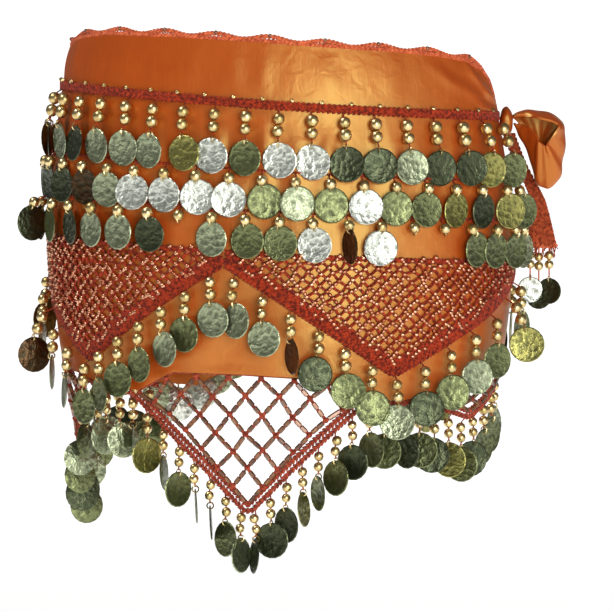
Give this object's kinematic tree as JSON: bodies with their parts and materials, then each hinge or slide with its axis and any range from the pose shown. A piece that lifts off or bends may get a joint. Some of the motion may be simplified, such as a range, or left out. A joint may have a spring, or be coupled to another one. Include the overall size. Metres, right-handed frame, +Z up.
{
  "type": "belly dance hip scarf",
  "caption": "Satin hip scarf tied at one side, with rows of brass coins and beads, beaded crochet triangles and hanging diamond nets with coin fringes.",
  "frame": {"origin": "centre of the hips at the height of the braid, where the wearer holds the scarf up", "axes": "+Z up, the front faces -Y, the knot is at +X on the wearer's left hip"},
  "size_m": [0.3632, 0.2507, 0.3696],
  "materials": {
    "satin": "satin, soft sheen",
    "coral_crochet": "matte crochet yarn",
    "red_crochet": "matte crochet yarn with seed beads",
    "aged_brass": "stamped, darkened olive, with gold beads"
  },
  "bodies": {
    "root": {"beaded_triangle_back_left": "red_crochet", "beaded_triangle_back_right": "red_crochet", "beaded_triangle_front_left": "red_crochet", "beaded_triangle_front_right": "red_crochet", "coin_row_1": "aged_brass", "coin_row_2": "aged_brass", "coin_row_3": "aged_brass", "knot": "satin", "knot_loop": "satin", "net_fringe_front": "aged_brass", "net_fringe_left": "aged_brass", "net_fringe_right": "aged_brass", "net_front": "red_crochet", "net_left": "red_crochet", "net_right": "red_crochet", "skirt_panel": "satin", "tail_fringe": "aged_brass", "tie_tail": "coral_crochet", "top_edging": "coral_crochet", "triangle_fringe_back_left": "aged_brass", "triangle_fringe_back_right": "aged_brass", "triangle_fringe_front_left": "aged_brass", "triangle_fringe_front_right": "aged_brass", "waistband": "satin"}
  },
  "joints": []
}
